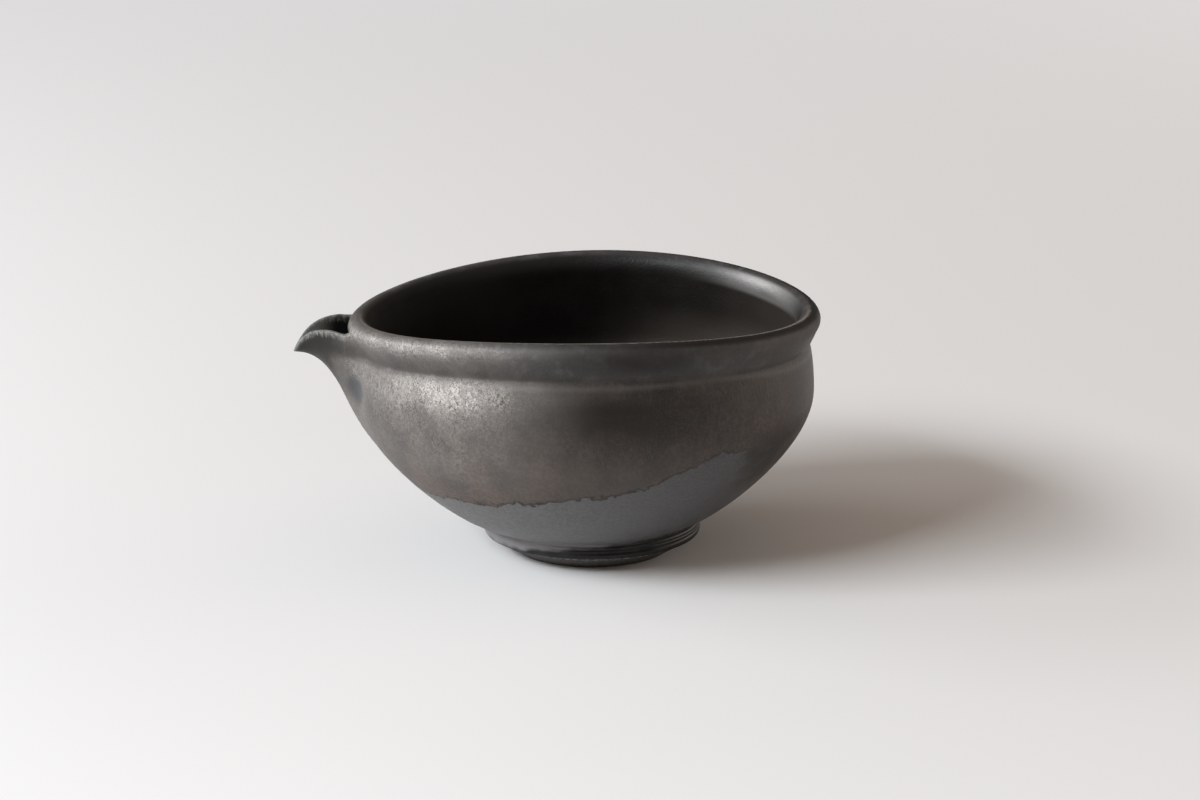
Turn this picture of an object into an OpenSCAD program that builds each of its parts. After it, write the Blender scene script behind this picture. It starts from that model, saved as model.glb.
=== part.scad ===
// Katakuchi: a thrown stoneware sake pourer, pressed oval, with a rolled rim, a luted beak and a turned foot.
// Millimetres. +Z is up and the spout points along -X. The origin is at the middle of the overall box, on the
// surface that the foot stands on. Every height of the bowl and rim is given as thrown: pressing the bowl oval
// then narrows it across and lets the rim dip at its two ends.

/* [Bowl] */
// Outer radius of the belly, as thrown
belly_r = 65.4; // [58:0.2:74]
// Depth of the belly's widest place below the rim's top
belly_drop = 25; // [20:0.5:30]
// How far the soft groove under the rim lies inside the belly
groove_in = 1.6; // [0.6:0.1:4]
// Thickness of the wall
wall_t = 4.5; // [3.5:0.1:6]
// Thickness of the floor at its middle
floor_t = 5.5; // [4:0.1:8]
// Outer radius of the flat base that the foot is luted to
base_r = 33.2; // [31:0.2:38]

/* [Rim] */
// Height of the rim's top at the front and back
bowl_h = 74; // [71:0.5:80]
// Height of the rim above the groove, where the wall ends
rim_h = 10.5; // [8.5:0.1:13]
// How far the lip stands out beyond the groove
lip_overhang = 3.1; // [2:0.1:5]
// Radius of the lip's roll
lip_r = 3.1; // [2.4:0.1:4]

/* [Pressing] */
// Length taken off the rim's width when the bowl is pressed oval
pressed_in = 10.6; // [0:0.2:20]
// Half-width that the rim gains towards the far end and loses towards the spout
egg = 4.2; // [0:0.2:8]
// Dip of the rim's top at the far end
dip_far = 3.2; // [0:0.2:6]
// Dip of the rim's top at the spout end
dip_spout = 5.6; // [0:0.2:8]
// How far the bowl's axis lies from the foot's axis, towards the spout
lean = 2.1; // [0:0.1:4]

/* [Spout] */
// Reach of the beak beyond the rim
spout_reach = 16; // [12:0.5:22]
// Half-width of the beak where it leaves the rim
spout_half_w = 13.4; // [11:0.2:15]
// Depth of the beak's side edges below the rim's top at the spout end
edge_drop = 3.4; // [2.6:0.2:5]
// Depth of the beak's tip below the rim's top at the spout end
tip_drop = 10.8; // [8:0.2:13]
// Depth below the belly's widest place, as thrown, at which the beak's keel begins
keel_drop = 15; // [9:0.5:21]
// Thickness of the beak's walls
spout_t = 2.4; // [1.8:0.1:3]
// Thickness of the beak at its tip
tip_t = 1.2; // [0.8:0.1:1.6]
// Width of the pour hole through the wall
hole_w = 15; // [10:0.5:17]
// Height of the pour hole
hole_h = 7; // [5:0.5:8]
// Clay left between the pour hole and the rim
hole_cover = 1.2; // [1:0.1:2]

/* [Foot] */
// Height of the foot ring
foot_h = 9.5; // [7:0.5:12]
// Outer radius of the foot ring at its top
foot_r = 31.2; // [28:0.2:33]
// Outer radius of the ring that touches the table
contact_r = 24.2; // [22:0.2:27]
// Height of the bevel between the wall of the foot and the table
bevel_h = 4.6; // [3:0.2:6]
// Inner radius of the foot at the table
recess_r = 20; // [16:0.2:21]
// Radius of the rounding at the foot's edges
foot_edge_r = 1; // [0.4:0.1:1.4]

/* [Slip] */
// Thickness of the slip that bonds the pieces
slip_t = 0.5; // [0.3:0.1:1]

/* [Hidden] */
$fn = 96;

GLAZE = [0.30, 0.28, 0.26];
RIM_GLAZE = [0.36, 0.35, 0.34];
SPOUT_GLAZE = [0.27, 0.27, 0.26];
FOOT_CLAY = [0.20, 0.19, 0.19];
SLIP_CLAY = [0.45, 0.40, 0.36];

// Facets round the bowl, and the angle of one
turn_n = 72;
step_a = 360 / turn_n;
// Steps along the lower wall, the upper wall, the collar's flare and the lip's roll
lower_n = 11;
upper_n = 4;
flare_n = 4;
roll_n = 9;

// The bowl's axis and the foot's axis, from the middle of the overall length
bowl_x = spout_reach / 2;
foot_x = bowl_x + lean;
// Flat base of the bowl, on the slip
base_z = foot_h + slip_t;
// Groove, belly, beak's root and rim as thrown
groove_r = belly_r - groove_in;
groove_z = bowl_h - rim_h;
belly_z = bowl_h - belly_drop;
keel_z = belly_z - keel_drop;
rim_r = groove_r + lip_overhang;
lip_ring_r = rim_r - lip_r;
lip_z = bowl_h - lip_r;
collar_z = groove_z + slip_t;
// Rim's top at the spout end, after pressing
spout_rim_z = bowl_h - dip_spout;
// Underside of the rim at the spout end, after pressing
spout_groove_z = groove_z - rise(groove_z) * dip_spout;

// Share of the way up from the base to the rim's top
function rise(z) = min(1, max(0, (z - base_z) / (bowl_h - base_z)));
// Share of the pressing that a height takes: none at the base, all at the rim
function pressed(z) = 1 - pow(1 - rise(z), 2);
// Dip of the rim at an angle from the far end
function dip(a) = (dip_spout + dip_far) / 2 * pow(cos(a), 2) - (dip_spout - dip_far) / 2 * cos(a);
// A thrown point, at radius r, angle a and height z, after the bowl is pressed oval
function shaped(r, a, z) = [
    bowl_x + r * cos(a),
    r * sin(a) * (1 - pressed_in / (2 * rim_r) * pressed(z)) * (1 + egg / rim_r * pressed(z) * cos(a)),
    z - rise(z) * dip(a)
];

// Point and direction on a cubic curve
function curve(p, t) =
    pow(1 - t, 3) * p[0] + 3 * pow(1 - t, 2) * t * p[1] + 3 * (1 - t) * t * t * p[2] + pow(t, 3) * p[3];
function slope(p, t) =
    pow(1 - t, 2) * (p[1] - p[0]) + 2 * (1 - t) * t * (p[2] - p[1]) + t * t * (p[3] - p[2]);
function inward(v) = [-v[1], v[0]] / norm(v);

// Outer wall as thrown: a lower curve from the base to the belly and an upper one to the groove
rise_a = 18;
rise_l = 8;
belly_l = 15.4;
shoulder_l = 5;
neck = [0.3, -4];
lower = [
    [base_r, base_z],
    [base_r + rise_l * cos(rise_a), base_z + rise_l * sin(rise_a)],
    [belly_r, belly_z - belly_l],
    [belly_r, belly_z]
];
upper = [
    [belly_r, belly_z],
    [belly_r, belly_z + shoulder_l],
    [groove_r, groove_z] + neck,
    [groove_r, groove_z]
];
wall_out = concat(
    [for (i = [0:lower_n]) curve(lower, i / lower_n)],
    [for (i = [1:upper_n]) curve(upper, i / upper_n)]
);
// Inner wall, one wall thickness in from the outer, from the floor up to the seat of the rim
seat_in_r = groove_r - wall_t;
wall_in = concat(
    [for (i = [0:lower_n]) curve(lower, i / lower_n) + wall_t * inward(slope(lower, i / lower_n))],
    [for (i = [1:upper_n - 1]) curve(upper, i / upper_n) + wall_t * inward(slope(upper, i / upper_n))],
    [[seat_in_r, groove_z]]
);
floor_z = base_z + floor_t;

// Collar as thrown: a flare from the seat to the lip's roll, the roll, and the inside back down to the seat
roll_from = -25;
roll_to = 200;
function on_roll(a) = [lip_ring_r + lip_r * cos(a), lip_z + lip_r * sin(a)];
flare = [
    [groove_r, collar_z],
    [groove_r, collar_z + (lip_z - collar_z) * 0.4],
    on_roll(roll_from) - lip_r * 0.6 * [-sin(roll_from), cos(roll_from)],
    on_roll(roll_from)
];
collar_out = concat(
    [for (i = [0:flare_n - 1]) curve(flare, i / flare_n)],
    [for (i = [0:roll_n]) on_roll(roll_from + (roll_to - roll_from) * i / roll_n)]
);
collar_section = concat(collar_out, [[seat_in_r, collar_z]]);

// Two triangles for the quad a b c d
function quad(a, b, c, d) = [[a, b, c], [a, c, d]];

// Ring of a closed section, [radius, height] points in order, carried round the bowl and pressed with it
module pressed_ring(section) {
    n = len(section);
    points = [for (k = [0:turn_n - 1]) for (p = section) shaped(p[0], k * step_a, p[1])];
    faces = [
        for (k = [0:turn_n - 1])
            for (i = [0:n - 1])
                let (j = (i + 1) % n, m = (k + 1) % turn_n)
                    each quad(k * n + i, k * n + j, m * n + j, m * n + i)
    ];
    polyhedron(points, faces, convexity = 10);
}

// Solid inside an outline, [radius, height] points from the bottom up, between two angles
module pressed_wedge(outline, from_k, to_k) {
    n = len(outline);
    axis = (to_k - from_k + 1) * n;
    points = concat(
        [for (k = [from_k:to_k]) for (p = outline) shaped(p[0], k * step_a, p[1])],
        [for (p = outline) shaped(0, 180, p[1])]
    );
    last = (to_k - from_k) * n;
    faces = concat(
        [for (k = [0:to_k - from_k - 1]) for (i = [0:n - 2])
            each quad(k * n + i, k * n + i + 1, (k + 1) * n + i + 1, (k + 1) * n + i)],
        [for (i = [0:n - 2]) each quad(i, axis + i, axis + i + 1, i + 1)],
        [for (i = [0:n - 2]) each quad(last + i, last + i + 1, axis + i + 1, axis + i)],
        [for (k = [0:to_k - from_k - 1]) [axis, k * n, (k + 1) * n]],
        [for (k = [0:to_k - from_k - 1]) [axis + n - 1, (k + 1) * n + n - 1, k * n + n - 1]]
    );
    polyhedron(points, faces, convexity = 10);
}

// Thrown wall with its floor, before the pour hole is cut
module thrown_wall() {
    n = len(wall_out);
    // Rings run up the outside and down the inside, between a point on the base and a point on the floor
    section = concat(wall_out, [for (i = [n - 1:-1:0]) wall_in[i]]);
    s = len(section);
    base_i = turn_n * s;
    points = concat(
        [for (k = [0:turn_n - 1]) for (p = section) shaped(p[0], k * step_a, p[1])],
        [shaped(0, 180, base_z), shaped(0, 180, floor_z)]
    );
    faces = [
        for (k = [0:turn_n - 1])
            let (m = (k + 1) % turn_n)
                each concat(
                    [for (i = [0:s - 2]) each quad(k * s + i, k * s + i + 1, m * s + i + 1, m * s + i)],
                    [[base_i, k * s, m * s], [base_i + 1, m * s + s - 1, k * s + s - 1]]
                )
    ];
    polyhedron(points, faces, convexity = 10);
}

// Pour hole: a slot with round ends, through the wall below the rim
hole_top = spout_groove_z - hole_cover;
hole_z = hole_top - hole_h / 2;
hole_from_x = bowl_x - belly_r - wall_t;
hole_l = 3 * wall_t;
module pour_hole() {
    flat_w = hole_w - hole_h;
    translate([hole_from_x, 0, hole_z]) {
        for (side = [-1, 1])
            translate([0, side * flat_w / 2, 0]) rotate([0, 90, 0]) cylinder(d = hole_h, h = hole_l);
        translate([0, -flat_w / 2, -hole_h / 2]) cube([hole_l, flat_w, hole_h]);
    }
}

module bowl_body() {
    color(GLAZE) difference() {
        thrown_wall();
        pour_hole();
    }
}

module rim_collar() {
    color(RIM_GLAZE) pressed_ring(collar_section);
}

module collar_slip() {
    color(SLIP_CLAY) pressed_ring([
        [groove_r, groove_z], [groove_r, collar_z], [seat_in_r, collar_z], [seat_in_r, groove_z]
    ]);
}

// Beak: sections square to X along a keel that leaves the belly steeply and runs out nearly level to the tip
beak_n = 11;
flank_n = 5;
tip_half_w = 1.4;
tip_z = spout_rim_z - tip_drop;
edge_z = spout_rim_z - edge_drop;
keel_sink = 0.5;
keel_root = shaped(lookup(keel_z, [for (p = wall_out) [p[1], p[0]]]) - keel_sink, 180, keel_z);
keel_a = 54;
keel_steep_l = 14.8;
keel_level = [9, 0.8];
beak_tip = [bowl_x - rim_r - spout_reach, tip_z - tip_t];
keel = [
    [keel_root[0], keel_root[2]],
    [keel_root[0], keel_root[2]] + keel_steep_l * [-cos(keel_a), sin(keel_a)],
    beak_tip + keel_level,
    beak_tip
];
// Share of the reach at a place along X: 0 where the beak leaves the rim, 1 at the tip
function reach(x) = (bowl_x - rim_r - x) / spout_reach;
function past_rim(x) = max(0, min(1, reach(x)));
// Side edges: level past the rim, then curving down to the tip
function edge_top(x) = tip_z + (edge_z - tip_z) * sqrt(1 - pow(past_rim(x), 2.6));
function half_w(x) = tip_half_w + (spout_half_w - tip_half_w) * pow(1 - past_rim(x), 1.15);
// Floor of the trough: level with the pour hole's bottom at the wall, then one thickness above the keel
trough_root_z = hole_z - hole_h / 2;
function trough(x, low) = min(
    max(trough_root_z, low + tip_t + (spout_t - tip_t) * (1 - past_rim(x))),
    edge_top(x) - tip_t / 2
);
// Half section from the keel at u = 0 to the edge at u = 1: round where v is 0, straight like a V where v is 1
function flank(w, low, high, v, u) = [
    w * ((1 - v) * sin(90 * u) + v * (1 - cos(90 * u))),
    high - (high - low) * cos(90 * u)
];
function both_flanks(w, low, high, v) = [
    for (i = [-flank_n:flank_n])
        let (p = flank(w, low, high, v, abs(i) / flank_n)) [sign(i) * p[0], p[1]]
];
root_v = 0.6;
function beak_section(x, low) =
    let (
        outer = both_flanks(half_w(x), low, edge_top(x), root_v * (1 - past_rim(x))),
        inner = both_flanks(max(tip_half_w / 3, half_w(x) - spout_t), trough(x, low), edge_top(x), 0)
    )
    [for (p = concat(outer, [for (i = [2 * flank_n:-1:0]) inner[i]])) [x, p[0], p[1]]];

module beak() {
    sections = [for (i = [0:beak_n]) let (p = curve(keel, i / beak_n)) beak_section(p[0], p[1])];
    n = len(sections[0]);
    half = n / 2;
    last = beak_n * n;
    faces = concat(
        [for (k = [0:beak_n - 1]) for (i = [0:n - 1])
            let (j = (i + 1) % n) each quad(k * n + i, k * n + j, (k + 1) * n + j, (k + 1) * n + i)],
        [for (i = [0:half - 2]) each quad(i, n - 1 - i, n - 2 - i, i + 1)],
        [for (i = [0:half - 2]) each quad(last + i, last + i + 1, last + n - 2 - i, last + n - 1 - i)]
    );
    polyhedron([for (section = sections) each section], faces, convexity = 10);
}

// Everything inside the bowl's and the rim's outside, near the spout, grown outwards by the slip where asked
wedge_k = 11;
module inside_of_bowl(grow) {
    outline = concat(wall_out, [for (i = [0:len(collar_out) - 1]) if (collar_out[i][0] >= lip_ring_r) collar_out[i]]);
    pressed_wedge([for (p = outline) p + [grow, 0]], turn_n / 2 - wedge_k, turn_n / 2 + wedge_k);
}

module spout() {
    color(SPOUT_GLAZE) difference() {
        beak();
        inside_of_bowl(slip_t);
    }
}

module spout_slip() {
    color(SLIP_CLAY) difference() {
        intersection() {
            beak();
            inside_of_bowl(slip_t);
        }
        inside_of_bowl(0);
    }
}

// Foot: a turned ring with an upright wall, a bevel under it and a hollow inside
module foot_ring() {
    color(FOOT_CLAY) translate([foot_x, 0, 0]) rotate_extrude() polygon(concat(
        [[recess_r + foot_edge_r, 0], [contact_r - foot_edge_r / 2, 0], [contact_r, foot_edge_r / 4]],
        [[foot_r - foot_edge_r / 2, bevel_h - foot_edge_r / 2], [foot_r, bevel_h + foot_edge_r / 2]],
        [[foot_r, foot_h], [recess_r, foot_h], [recess_r, foot_edge_r]]
    ));
}

module foot_slip() {
    color(SLIP_CLAY) translate([foot_x, 0, foot_h]) difference() {
        cylinder(r = foot_r, h = slip_t);
        translate([0, 0, -slip_t]) cylinder(r = recess_r, h = 3 * slip_t);
    }
}

bowl_body();
rim_collar();
spout();
foot_ring();
spout_slip();
collar_slip();
foot_slip();
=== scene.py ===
from math import cos, pi, radians, sin

import bpy
import numpy as np
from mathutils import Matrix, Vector, noise


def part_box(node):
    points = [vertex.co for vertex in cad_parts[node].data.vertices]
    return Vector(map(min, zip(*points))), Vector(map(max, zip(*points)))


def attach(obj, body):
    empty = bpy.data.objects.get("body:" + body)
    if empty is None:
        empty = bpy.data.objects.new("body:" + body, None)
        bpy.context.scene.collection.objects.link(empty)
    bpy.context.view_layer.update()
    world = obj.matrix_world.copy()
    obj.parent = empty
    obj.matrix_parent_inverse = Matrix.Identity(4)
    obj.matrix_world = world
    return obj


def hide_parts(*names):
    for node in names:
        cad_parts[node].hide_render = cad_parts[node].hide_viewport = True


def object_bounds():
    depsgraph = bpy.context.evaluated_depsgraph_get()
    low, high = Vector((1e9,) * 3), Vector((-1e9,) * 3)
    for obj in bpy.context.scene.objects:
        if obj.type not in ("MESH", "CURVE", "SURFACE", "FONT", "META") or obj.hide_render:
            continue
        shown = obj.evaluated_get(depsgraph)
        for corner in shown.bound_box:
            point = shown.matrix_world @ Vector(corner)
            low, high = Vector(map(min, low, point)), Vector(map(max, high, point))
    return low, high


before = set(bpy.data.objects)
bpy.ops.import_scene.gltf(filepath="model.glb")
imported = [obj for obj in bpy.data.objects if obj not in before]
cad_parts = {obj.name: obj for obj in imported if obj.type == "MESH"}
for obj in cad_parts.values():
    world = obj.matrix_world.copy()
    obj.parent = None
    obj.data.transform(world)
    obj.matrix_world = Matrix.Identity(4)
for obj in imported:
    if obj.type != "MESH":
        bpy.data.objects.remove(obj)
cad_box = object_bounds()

# Every size below is in millimetres, in the frame of the CAD model. Meshes are made in millimetres and
# written in metres.
MM = 0.001
TINY = 1e-6


def box_mm(node):
    lo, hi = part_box(node)
    return np.array(lo) / MM, np.array(hi) / MM


rim_lo, rim_hi = box_mm("rim_collar")
foot_lo, foot_hi = box_mm("foot_ring")
spout_lo, _ = box_mm("spout")

# Bowl as thrown
BOWL_X = (rim_lo[0] + rim_hi[0]) / 2
RIM_R = (rim_hi[0] - rim_lo[0]) / 2
BOWL_H = 74.0
BASE_Z = 10.0
BASE_R = 33.2
RISE_A = radians(18)
RISE_L = 8.0
BELLY_R = 65.4
BELLY_Z = 49.0
BELLY_L = 15.4
SHOULDER_L = 5.0
GROOVE_R = 63.8
GROOVE_Z = 63.5
NECK = (1.0, -2.6)
WALL_T = 4.5
FLOOR_Z = 15.5
FLOOR_FLAT_R = 10.0
FLOOR_BEND_R = 28.0
FLOOR_BEND_Z = 25.0
FLOOR_BEND_L = 9.0

# Lip: a tight roll outside and a long soft shoulder inside
LIP_R = 3.1
LIP_RING_R = RIM_R - LIP_R
LIP_Z = BOWL_H - LIP_R
ROLL_FROM = radians(-25)
FLARE = 0.55
FLARE_RISE = 0.4
FLARE_HANDLE = 0.5
CREST = np.array([LIP_RING_R + 0.1, BOWL_H])
CREST_SLOPE = 0.06
LIP_INSIDE_Z = 69.2
INSIDE_UPRIGHT_Z = 52.0
INSIDE_LEAN = 0.5
SHOULDER_UP = 0.6
SHOULDER_OVER = 0.55
LIP_EDGE_ROUND = 0.3
SKIN = 0.03

# Pressing the thrown bowl oval
PRESSED_IN = 10.6
EGG = 4.2
DIP_FAR = 3.2
DIP_SPOUT = 5.6
DIP_FADE_R = 30.0
UNPRESS_ROUNDS = 4

# Beak
SPOUT_TIP_X = spout_lo[0]
SPOUT_ROOT_X = BOWL_X - RIM_R
SPOUT_REACH = SPOUT_ROOT_X - SPOUT_TIP_X
SPOUT_HALF_W = 13.4
TIP_HALF_W = 0.8
BEAK_FULLNESS = 0.75
EDGE_Z = 65.7
EDGE_POWER = 4.2
EDGE_DIP = 0.7
EDGE_DIP_TO = 0.3
TIP_Z = 57.6
SPOUT_T = 2.4
TIP_T = 0.5
KEEL = [(-50.2, 30.6), (-62.5, 43.5), (-63.0, 57.8), (SPOUT_TIP_X, TIP_Z - TIP_T)]
ROOT_POWER = 1.5
TIP_POWER = 2.0
BEAK_LEAST_DEPTH = 0.3
BEAK_ZONE = 25.0
BEAK_BLEND = 7.0
BEAK_BLEND_TOP = 2.0
BLEND_FADE_Z = (57.0, 66.0)
BEAK_EDGE_ROUND = 0.5
TROUGH_ROOT_Z = 50.6
TROUGH_ABOVE = 1.0
TROUGH_POWER = 2.0
TROUGH_TO_WALL = 0.3
HOLE_Z = 54.1
HOLE_W = 15.0
HOLE_H = 7.0
HOLE_FROM_X = -59.6
HOLE_TO_X = -44.0
HOLE_ROUND = 1.2
DIMPLE = (-57.8, -12.6, 48.5)
DIMPLE_SIZE = (5.3, 5.6, 4.6)
DIMPLE_DEPTH = 1.2

# Foot
FOOT_X = (foot_lo[0] + foot_hi[0]) / 2
FOOT_R = (foot_hi[0] - foot_lo[0]) / 2
RECESS_R = 20.0
CONTACT_R = 23.0
BEVEL_Z = 5.2
FOOT_SEAM_Z = 9.4
FOOT_BLEND = 1.0
STUB_H = 2.0

# Points along the outlines
LOWER_STEPS = 36
UPPER_STEPS = 12
LIP_STEPS = 24
KEEL_STEPS = 60


# Form of the thrown bowl
def bezier(points, count):
    p = [np.array(q, float) for q in points]
    t = np.linspace(0, 1, count)[:, None]
    first_half = (1 - t) ** 3 * p[0] + 3 * (1 - t) ** 2 * t * p[1]
    return first_half + 3 * (1 - t) * t * t * p[2] + t ** 3 * p[3]


def inset(line, depth):
    along = np.gradient(line, axis=0)
    inward = np.stack([-along[:, 1], along[:, 0]], axis=1)
    return line + depth * inward / np.linalg.norm(inward, axis=1)[:, None]


def on_roll(a):
    return np.array([LIP_RING_R + LIP_R * cos(a), LIP_Z + LIP_R * sin(a)])


def roll_direction(a):
    return np.array([-sin(a), cos(a)])


WALL = np.concatenate([
    bezier([
        (BASE_R, BASE_Z),
        (BASE_R + RISE_L * cos(RISE_A), BASE_Z + RISE_L * sin(RISE_A)),
        (BELLY_R, BELLY_Z - BELLY_L),
        (BELLY_R, BELLY_Z),
    ], LOWER_STEPS),
    bezier([
        (BELLY_R, BELLY_Z),
        (BELLY_R, BELLY_Z + SHOULDER_L),
        (GROOVE_R + NECK[0], GROOVE_Z + NECK[1]),
        (GROOVE_R, GROOVE_Z),
    ], UPPER_STEPS)[1:],
])
FAR_R = -60.0
ABOVE = 12.0


def outside_outline():
    """Outline of the bowl with its hollow filled in, closed far beyond the axis."""
    flare_end = on_roll(ROLL_FROM)
    rise = FLARE_RISE * (flare_end[1] - GROOVE_Z)
    flare = bezier([
        (GROOVE_R, GROOVE_Z),
        (GROOVE_R + FLARE * rise, GROOVE_Z + rise),
        flare_end - FLARE_HANDLE * LIP_R * roll_direction(ROLL_FROM),
        flare_end,
    ], UPPER_STEPS)
    roll = np.array([on_roll(a) for a in np.linspace(ROLL_FROM, pi / 2, LIP_STEPS)])
    return np.concatenate([[(FAR_R, BASE_Z)], WALL, flare[1:], roll[1:], [(FAR_R, BOWL_H)]])


def hollow_outline():
    """Outline of the hollow, carried on above the lip and closed far beyond the axis."""
    wall = inset(WALL, WALL_T)
    wall = wall[(wall[:, 1] > FLOOR_BEND_Z) & (wall[:, 1] < INSIDE_UPRIGHT_Z)]
    along = wall[1] - wall[0]
    bend = bezier([
        (FLOOR_FLAT_R, FLOOR_Z),
        (FLOOR_BEND_R, FLOOR_Z),
        wall[0] - FLOOR_BEND_L * along / np.linalg.norm(along),
        wall[0],
    ], LIP_STEPS)
    start = np.array([wall[-1, 0] - INSIDE_LEAN, LIP_INSIDE_Z])
    reach = CREST - start
    shoulder = bezier([
        start,
        start + (0, SHOULDER_UP * reach[1]),
        CREST - SHOULDER_OVER * reach[0] * np.array([1, CREST_SLOPE]),
        CREST,
    ], LIP_STEPS)
    above = [CREST + (ABOVE / 3, ABOVE), (FAR_R, BOWL_H + ABOVE)]
    return np.concatenate([[(FAR_R, FLOOR_Z)], bend, wall[1:], shoulder, above])


class Section:
    """Signed distance to a closed outline in radius and height, looked up on a fine grid."""
    STEP = 0.15
    R_MAX = 84.0
    Z_MAX = 90.0

    def __init__(self, outline):
        radii = np.arange(0, self.R_MAX, self.STEP)
        heights = np.arange(0, self.Z_MAX, self.STEP)
        r, z = np.meshgrid(radii, heights, indexing="ij")
        nearest = np.full(r.shape, np.inf)
        inside = np.zeros(r.shape, bool)
        for a, b in zip(outline, np.roll(outline, -1, axis=0)):
            e = b - a
            u, v = r - a[0], z - a[1]
            t = np.clip((u * e[0] + v * e[1]) / (e @ e), 0, 1)
            nearest = np.minimum(nearest, (u - t * e[0]) ** 2 + (v - t * e[1]) ** 2)
            if a[1] != b[1]:
                inside ^= ((a[1] > z) != (b[1] > z)) & (r < a[0] + v * e[0] / e[1])
        self.table = np.where(inside, -1, 1) * np.sqrt(nearest)

    def __call__(self, r, z):
        i = np.clip(r / self.STEP, 0, self.table.shape[0] - 1.001)
        j = np.clip(z / self.STEP, 0, self.table.shape[1] - 1.001)
        i0, j0 = i.astype(int), j.astype(int)
        u, v = i - i0, j - j0
        t = self.table
        low = t[i0, j0] * (1 - u) + t[i0 + 1, j0] * u
        high = t[i0, j0 + 1] * (1 - u) + t[i0 + 1, j0 + 1] * u
        return low * (1 - v) + high * v


outside = Section(outside_outline())
hollow = Section(hollow_outline())


def smooth_step(low, high, x):
    t = np.clip((x - low) / (high - low), 0, 1)
    return t * t * (3 - 2 * t)


def bell(x, width):
    return np.exp(-(x / width) ** 2)


def at_least(rest, share):
    """Share from 0 to 1 moved to the range from rest to 1."""
    return rest + (1 - rest) * share


def thrown(x, y, z):
    """Radius and height that a point of the pressed bowl had as thrown, and the cosine of its angle."""
    x = x - BOWL_X
    r = np.hypot(x, y) + TINY
    c = x / r
    for _ in range(UNPRESS_ROUNDS):
        dip = (DIP_SPOUT + DIP_FAR) / 2 * c * c - (DIP_SPOUT - DIP_FAR) / 2 * c
        k = dip * smooth_step(0, DIP_FADE_R, r) / (BOWL_H - BASE_Z)
        z0 = (z - BASE_Z * k) / (1 - k)
        pressed = 1 - (1 - np.clip((z0 - BASE_Z) / (BOWL_H - BASE_Z), 0, 1)) ** 2
        y0 = y / ((1 - PRESSED_IN / (2 * RIM_R) * pressed) * (1 + EGG / RIM_R * pressed * c))
        r = np.hypot(x, y0) + TINY
        c = x / r
    return r, z0, c


# Form of the beak
keel_line = bezier(KEEL, KEEL_STEPS)[::-1]


def past_rim(x):
    return np.clip((SPOUT_ROOT_X - x) / SPOUT_REACH, 0, 1)


def edge_top(x):
    dip = EDGE_DIP * smooth_step(EDGE_DIP_TO, 0, past_rim(x))
    return TIP_Z + (EDGE_Z - TIP_Z) * (1 - past_rim(x) ** EDGE_POWER) - dip


def half_width(x):
    return TIP_HALF_W + (SPOUT_HALF_W - TIP_HALF_W) * (1 - past_rim(x)) ** BEAK_FULLNESS


def wall_at(x):
    return TIP_T + (SPOUT_T - TIP_T) * (1 - past_rim(x))


def keel_at(x):
    return np.interp(x, keel_line[:, 0], keel_line[:, 1])


def section_distance(y, z, width, top, bottom, power):
    """Rough signed distance to a rounded V that hangs from the height top down to bottom."""
    depth = np.maximum(top - bottom, BEAK_LEAST_DEPTH)
    q = np.abs(y) / width + TINY
    h = np.maximum(top - z, 0) / depth + TINY
    size = (q ** power + h ** power) ** (1 / power)
    steep = size ** (1 - power) * np.hypot(q ** (power - 1) / width, h ** (power - 1) / depth)
    return (size - 1) / steep


def smooth_min(a, b, k):
    h = np.clip(0.5 + 0.5 * (b - a) / k, 0, 1)
    return b + (a - b) * h - k * h * (1 - h)


def smooth_max(a, b, k):
    return -smooth_min(-a, -b, k)


def beak_outside(x, y, z):
    power = ROOT_POWER + (TIP_POWER - ROOT_POWER) * past_rim(x)
    flank = section_distance(y, z, half_width(x), edge_top(x), keel_at(x), power)
    above = z - edge_top(x)
    beyond = SPOUT_TIP_X - x
    return smooth_max(smooth_max(flank, above, BEAK_EDGE_ROUND), beyond, BEAK_EDGE_ROUND)


def beak_trough(x, y, z):
    top = edge_top(x)
    floor = np.minimum(np.maximum(TROUGH_ROOT_Z, keel_at(x) + wall_at(x)), top - TIP_T / 2)
    width = np.maximum(half_width(x) - wall_at(x), TIP_HALF_W / 3)
    return section_distance(y, z, width, top + TROUGH_ABOVE, floor, TROUGH_POWER)


def pour_hole(x, y, z):
    across = np.maximum(np.abs(y) - (HOLE_W - HOLE_H) / 2, 0)
    slot = np.hypot(across, z - HOLE_Z) - HOLE_H / 2
    return np.maximum(slot, np.maximum(HOLE_FROM_X - x, x - HOLE_TO_X))


def finger_dimple(x, y, z):
    """Depth pressed in by a fingertip beside the root of the beak."""
    reach = sum(((v - at) / size) ** 2 for v, at, size in zip((x, y, z), DIMPLE, DIMPLE_SIZE))
    return DIMPLE_DEPTH * np.exp(-reach)


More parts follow.
